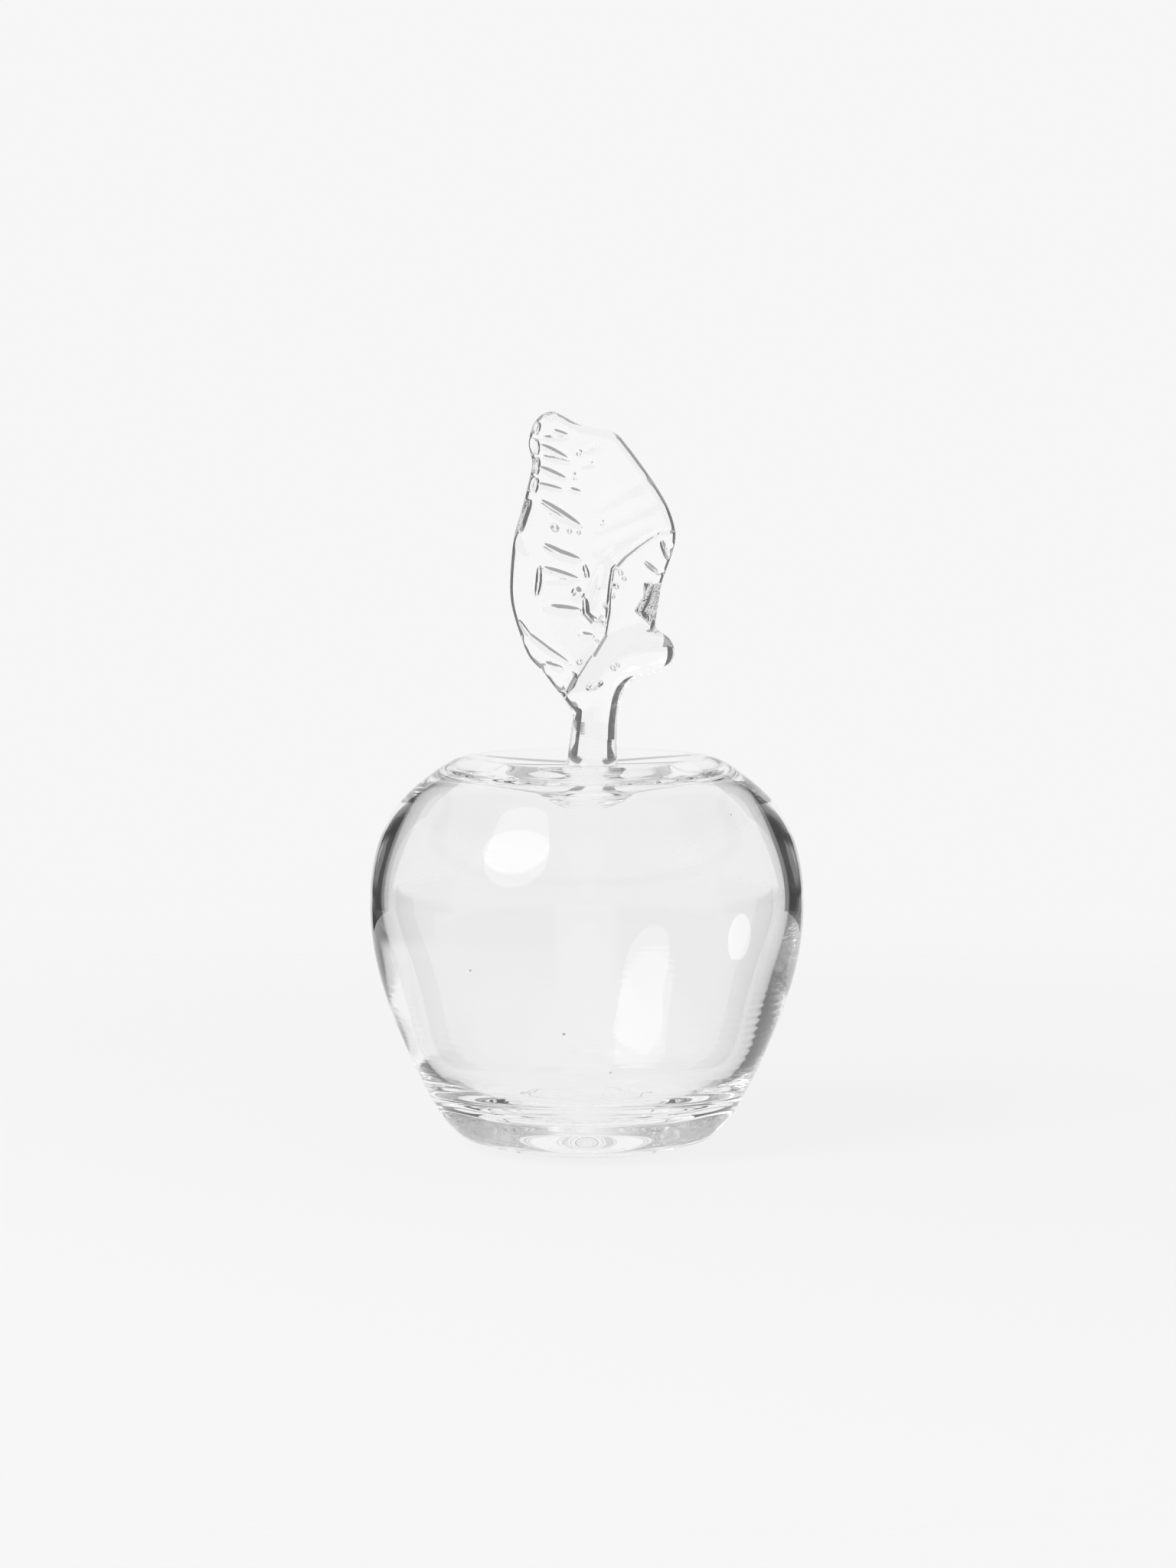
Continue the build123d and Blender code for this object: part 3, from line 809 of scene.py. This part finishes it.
# settings of the sums that join masks, where less stops at zero
product = {"operation": "MULTIPLY"}
larger = {"operation": "MAXIMUM"}
less = {"operation": "SUBTRACT", "use_clamp": True}


def rayKinds(tree):
    # short and long runs in the wall, straight ways through solid glass, and ways through the lump under the
    # neck, which cross six faces or turn in it; light gathered on the table afterwards is none of these
    rays = addNode(tree, "LightPath")
    through, crossed, turns = (rays.outputs[name] for name in (
        "Is Transmission Ray", "Transmission Depth", "Glossy Depth"))
    few, many = rayRules["shoulderTurns"]
    leasts = [(turns, 1), (turns, 2), (turns, few), (turns, many + 1), (crossed, 4), (crossed, 6)]
    turned, twiceTurned, past, lots, four, six = (
        addNode(tree, "Math", {"operation": "GREATER_THAN", 1: least - 0.5}, {0: depth})
        for depth, least in leasts)
    wall = addNode(tree, "Math", {"operation": "COMPARE", 1: 2.0, 2: 0.1}, {0: crossed})
    wall = addNode(tree, "Math", product, {0: wall, 1: through})
    short = addNode(tree, "Math", less, {0: turned, 1: past})
    short = addNode(tree, "Math", product, {0: wall, 1: short})
    lots = addNode(tree, "Math", {"operation": "MULTIPLY", 1: rayRules["longShare"]}, {0: lots})
    long = addNode(tree, "Math", product, {0: wall, 1: lots})
    solid = addNode(tree, "Math", less, {0: wall, 1: turned})
    bent = addNode(tree, "Math", product, {0: twiceTurned, 1: four})
    bent = addNode(tree, "Math", {"operation": "MULTIPLY", 1: rayRules["bentShare"]}, {0: bent})
    lump = addNode(tree, "Math", larger, {0: six, 1: bent})
    lump = addNode(tree, "Math", product, {0: lump, 1: through})
    return rays, {"short": short, "long": long, "solid": solid, "lump": lump}


def softEdge(span, least=0.0):
    # settings for a mask that rises smoothly over a span
    return {"interpolation_type": "SMOOTHSTEP", "From Min": span[0], "From Max": span[1], "To Min": least}


def bandMask(tree, span, value):
    # 1 between the two soft edges of a span, 0 outside them
    rising = addNode(tree, "MapRange", softEdge(span[:2]), {"Value": value})
    falling = addNode(tree, "MapRange", softEdge(span[2:]), {"Value": value})
    return addNode(tree, "Math", less, {0: rising, 1: falling})


def stageMesh(name, points, faces, material):
    mesh = bpy.data.meshes.new(name)
    mesh.from_pydata(points, [], faces)
    mesh.materials.append(material)
    thing = bpy.data.objects.new(name, mesh)
    scene.collection.objects.link(thing)
    thing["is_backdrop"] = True
    return thing


# sizes of the table and the cards are in metres
table = {
    "colour": "#F5F5F5", "grey": "#606060", "size": 4.0, "top": -0.0001,
    "grainSize": 0.0015, "grainHeight": 0.00005, "grainStrength": 0.05,
    "fade": (0.4, 1.9), "fadeSeen": (0.12, 0.50),  # how far out it gives way to the backdrop
    "corridor": (0.028, 0.2), "corridorEdge": (0.0, 0.012),  # half width and widening, soft edge
    "front": (-0.04, -0.01), "leftPale": (0.075, 0.085, 0.135, 0.185), "leftSide": (0.0, -0.02),
    "solidReach": (0.47, 0.54),
}
tableMaterial, tree = emptyMaterial("table, matt white laminate")
position = addNode(tree, "NewGeometry").outputs["Position"]
grain = addNode(tree, "TexNoise", {"Scale": 1 / table["grainSize"], "Detail": 3.0}, {"Vector": position})
bump = addNode(tree, "Bump", {"Strength": table["grainStrength"], "Distance": table["grainHeight"]},
               {"Height": grain.outputs["Fac"]})
paint = addNode(tree, "BsdfPrincipled",
                {"Base Color": linearColour(table["colour"]), "Roughness": 0.7, "Specular IOR Level": 0.0},
                {"Normal": bump})
away = addNode(tree, "VectorMath", {"operation": "LENGTH"}, {0: position}).outputs["Value"]
where = addNode(tree, "SeparateXYZ", None, {0: position})
rays, kind = rayKinds(tree)
# beside a corridor that widens behind the apple, the table is dark to such rays
halfWidth, widening = table["corridor"]
back = addNode(tree, "Math", {"operation": "MAXIMUM", 1: 0.0}, {0: where.outputs["Y"]})
across = addNode(tree, "Math", {"operation": "ABSOLUTE"}, {0: where.outputs["X"]})
limit = addNode(tree, "Math", {"operation": "MULTIPLY_ADD", 1: -widening, 2: -halfWidth}, {0: back})
excess = addNode(tree, "Math", {"operation": "ADD"}, {0: across, 1: limit})
beside = addNode(tree, "MapRange", softEdge(table["corridorEdge"]), {"Value": excess})
behind = addNode(tree, "MapRange", softEdge(table["front"], rayRules["frontShare"]),
                 {"Value": where.outputs["Y"]})
# to short runs it has a pale arc at the left
left = addNode(tree, "MapRange", softEdge(table["leftSide"]), {"Value": where.outputs["X"]})
pale = addNode(tree, "Math", product, {0: bandMask(tree, table["leftPale"], away), 1: left})
shortDark = addNode(tree, "Math", less, {0: beside, 1: pale})
shortDark = addNode(tree, "Math", product, {0: shortDark, 1: kind["short"]})
# near the apple it is grey to rays straight through solid glass
far = addNode(tree, "MapRange", softEdge(table["solidReach"]), {"Value": away})
nearSolid = addNode(tree, "Math", less, {0: kind["solid"], 1: far})
nearSolid = addNode(tree, "Math", {"operation": "MULTIPLY", 1: rayRules["solidGrey"]}, {0: nearSolid})
otherDark = kind["long"]
for share in (nearSolid, kind["lump"]):
    otherDark = addNode(tree, "Math", larger, {0: otherDark, 1: share})
otherDark = addNode(tree, "Math", product, {0: beside, 1: otherDark})
dark = addNode(tree, "Math", larger, {0: shortDark, 1: otherDark})
dark = addNode(tree, "Math", product, {0: dark, 1: behind})
grey = addNode(tree, "BsdfDiffuse", {"Color": linearColour(table["grey"])})
paint = addNode(tree, "MixShader", None, {0: dark, 1: paint, 2: grey})
# to the camera the table blends into the backdrop sooner, so no horizon shows
fade = addNode(tree, "MapRange", softEdge(table["fade"]), {"Value": away})
fadeSeen = addNode(tree, "MapRange", softEdge(table["fadeSeen"]), {"Value": away})
fadeSeen = addNode(tree, "Math", product, {0: fadeSeen, 1: rays.outputs["Is Camera Ray"]})
fade = addNode(tree, "Math", larger, {0: fade, 1: fadeSeen})
clear = addNode(tree, "BsdfTransparent")
mixed = addNode(tree, "MixShader", None, {0: fade, 1: paint, 2: clear})
addNode(tree, "OutputMaterial", None, {"Surface": mixed})
half, top = table["size"] / 2, table["top"]
stageMesh("table", [(-half, -half, top), (half, -half, top), (half, half, top), (-half, half, top)],
          [(0, 1, 2, 3)], tableMaterial)

cards = {"colour": "#464646", "solidColour": "#5C5C5C", "inner": 0.153, "outer": 0.43, "back": 0.30,
         "low": 0.004, "high": 0.36}
cardMaterial, tree = emptyMaterial("card, dark grey flocked")
nap = addNode(tree, "BsdfPrincipled",
              {"Base Color": linearColour(cards["colour"]), "Roughness": 1.0, "Specular IOR Level": 0.0})
rays, kind = rayKinds(tree)
# to rays straight through solid glass the cards are paler, and rays that turned in the shoulder pass them by
solidNap = addNode(tree, "BsdfDiffuse", {"Color": linearColour(cards["solidColour"])})
nap = addNode(tree, "MixShader", None, {0: kind["solid"], 1: nap, 2: solidNap})
few, many = rayRules["shoulderTurns"]
passing = addNode(tree, "Math", {"operation": "COMPARE", 1: (few + many) / 2, 2: (many - few) / 2 + 0.1},
                  {0: rays.outputs["Glossy Depth"]})
clear = addNode(tree, "BsdfTransparent")
mixed = addNode(tree, "MixShader", None, {0: passing, 1: nap, 2: clear})
addNode(tree, "OutputMaterial", None, {"Surface": mixed})
for name, side in (("card_left", -1), ("card_right", 1)):
    near, far, back = side * cards["inner"], side * cards["outer"], cards["back"]
    low, high = cards["low"], cards["high"]
    card = stageMesh(name, [(near, back, low), (far, back, low), (far, back, high), (near, back, high)],
                     [(0, 1, 2, 3)], cardMaterial)
    card.visible_camera = False
    card.visible_diffuse = False
    card.visible_shadow = False

surround = {
    "paper": "#F6F6F6", "strength": 1.0, "solidStrength": 1.03, "dark": 0.07,
    # spans of where a ray points: upwards, but backwards for front, and sideways in the last line
    "short": (0.02, 0.10), "long": (0.25, 0.40), "lumpHeight": (0.4, 0.6), "front": (-0.25, -0.05),
    "rim": (0.36, 0.40, 0.44, 0.48), "rimShare": 0.5, "belt": (0.16, 0.24, 0.46, 0.58),
    "beltLean": (-0.12, -0.02), "lumpAside": (0.25, 0.35),
}
world = bpy.data.worlds.new("white studio")
scene.world = world
world.use_nodes = True
tree = world.node_tree
tree.nodes.clear()
rays, kind = rayKinds(tree)
toward = addNode(tree, "SeparateXYZ", None, {0: addNode(tree, "TexCoord").outputs["Generated"]})
sideways, backward, up = (toward.outputs[axis] for axis in "XYZ")
# low down it is dark to short runs in the wall, less so in front
above = addNode(tree, "MapRange", softEdge(surround["short"]), {"Value": up})
lowShort = addNode(tree, "Math", less, {0: kind["short"], 1: above})
behind = addNode(tree, "MapRange", softEdge(surround["front"], rayRules["frontShare"]), {"Value": backward})
lowShort = addNode(tree, "Math", product, {0: lowShort, 1: behind})
# a narrow strip above that the rim picks up as its dark line
rim = bandMask(tree, surround["rim"], up)
rim = addNode(tree, "Math", {"operation": "MULTIPLY", 1: surround["rimShare"]}, {0: rim})
rim = addNode(tree, "Math", product, {0: rim, 1: kind["short"]})
# a grey belt to rays straight through solid glass, open to the upper left, where the knob looks
lean = addNode(tree, "Math", {"operation": "DIVIDE"}, {0: sideways, 1: up})
tone = addNode(tree, "MapRange", softEdge(surround["beltLean"]), {"Value": lean})
tone = addNode(tree, "Math", {"operation": "MULTIPLY", 1: rayRules["solidGrey"]}, {0: tone})
belt = addNode(tree, "Math", product, {0: bandMask(tree, surround["belt"], up), 1: tone})
belt = addNode(tree, "Math", product, {0: kind["solid"], 1: belt})
# up to a greater height it is dark to long runs, and at both sides to ways through the lump
above = addNode(tree, "MapRange", softEdge(surround["long"]), {"Value": up})
lowLong = addNode(tree, "Math", less, {0: kind["long"], 1: above})
aside = addNode(tree, "Math", {"operation": "ABSOLUTE"}, {0: sideways})
aside = addNode(tree, "MapRange", softEdge(surround["lumpAside"]), {"Value": aside})
above = addNode(tree, "MapRange", softEdge(surround["lumpHeight"]), {"Value": up})
lump = addNode(tree, "Math", less, {0: aside, 1: above})
lump = addNode(tree, "Math", product, {0: lump, 1: kind["lump"]})
dark = lowShort
for share in (rim, belt, lowLong, lump):
    dark = addNode(tree, "Math", larger, {0: dark, 1: share})
dim = addNode(tree, "MapRange", {"To Min": 1.0, "To Max": surround["dark"]}, {"Value": dark})
# painted light: to rays straight through solid glass the surround glows a little brighter, which lightens the
# stem and leaf
glow = addNode(tree, "MapRange", {"To Min": surround["strength"], "To Max": surround["solidStrength"]},
               {"Value": kind["solid"]})
level = addNode(tree, "Math", product, {0: glow, 1: dim})
backdrop = addNode(tree, "Background", {"Color": linearColour(surround["paper"])}, {"Strength": level})
addNode(tree, "OutputWorld", None, {"Surface": backdrop})

# degrees to the left of the camera and up, as seen from the aim
softbox = {"left": 45.0, "up": 36.0, "away": 2.1, "size": 1.29, "glow": 1.5}
smallSoftbox = {"left": -78.0, "up": -11.4, "away": 0.193, "size": 0.05, "glow": 2.6}
lampAim = Vector((0, 0, 0.06))


def roundLamp(name, box):
    data = bpy.data.lights.new(name, "AREA")
    data.shape = "DISK"
    data.size = box["size"]
    data.energy = box["glow"] * math.pi * math.pi * (box["size"] / 2) ** 2
    lamp = bpy.data.objects.new(name, data)
    left, up = math.radians(box["left"]), math.radians(box["up"])
    way = Vector((-math.sin(left) * math.cos(up), -math.cos(left) * math.cos(up), math.sin(up)))
    lamp.location = lampAim + box["away"] * way
    lamp.rotation_euler = (lampAim - lamp.location).to_track_quat("-Z", "Y").to_euler()
    lamp.visible_camera = False
    scene.collection.objects.link(lamp)
    return lamp


roundLamp("round softbox", softbox)
small = roundLamp("small softbox", smallSoftbox)
small.visible_diffuse = False
small.visible_transmission = False

# a stand-in for the glass's own shadow: a faint grey shade in the body's place, in millimetres,
# which only dims the light that reaches the table
shadowStandIn = {"colour": "#EAEAEA", "share": 0.98, "foot": 0.5, "crest": 90.0, "every": 6, "columns": 48}
shadowStandInMaterial, tree = emptyMaterial("shade, grey stand-in for the glass's shadow")
thin = addNode(tree, "BsdfTransparent", {"Color": linearColour(shadowStandIn["colour"])})
addNode(tree, "OutputMaterial", None, {"Surface": thin})
shadowStandInLine = np.concatenate([[(0, shadowStandIn["foot"])], outline[::shadowStandIn["every"]], [(0, shadowStandIn["crest"])]])
points, faces = turnProfile(shadowStandInLine * shadowStandIn["share"], shadowStandIn["columns"])
shade = stageMesh("shade", (points * mm).tolist(), [tuple(int(i) for i in f) for f in faces], shadowStandInMaterial)
for ray in ("camera", "diffuse", "glossy", "transmission"):
    setattr(shade, "visible_" + ray, False)
print("stage: table, 2 cards, 2 softboxes, shade")


# Camera at the photo's place

shot = {"place": (0.0, -1.1, 0.18), "aim": (0.00026, 0.0, 0.0842), "lens": 110.0, "sensor": 36.0}
lensData = bpy.data.cameras.new("camera")
lensData.lens = shot["lens"]
lensData.sensor_fit = "VERTICAL"
lensData.sensor_height = shot["sensor"]
lensData.clip_start = 0.01
camera = bpy.data.objects.new("camera", lensData)
camera.location = shot["place"]
camera.rotation_euler = (Vector(shot["aim"]) - Vector(shot["place"])).to_track_quat("-Z", "Y").to_euler()
scene.collection.objects.link(camera)
scene.camera = camera

scene.view_settings.view_transform = "Standard"
# the longest runs in the wall turn this often
glassTurns = 48
scene.cycles.max_bounces = glassTurns
scene.cycles.transmission_bounces = glassTurns
scene.cycles.glossy_bounces = glassTurns
scene.cycles.transparent_max_bounces = 32

lowCorner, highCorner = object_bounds()
cadSize = [round(v, 4) for v in cadHigh - cadLow]
visualSize = [round(v, 4) for v in highCorner - lowCorner]
print("size: cad %s visual %s" % (cadSize, visualSize))
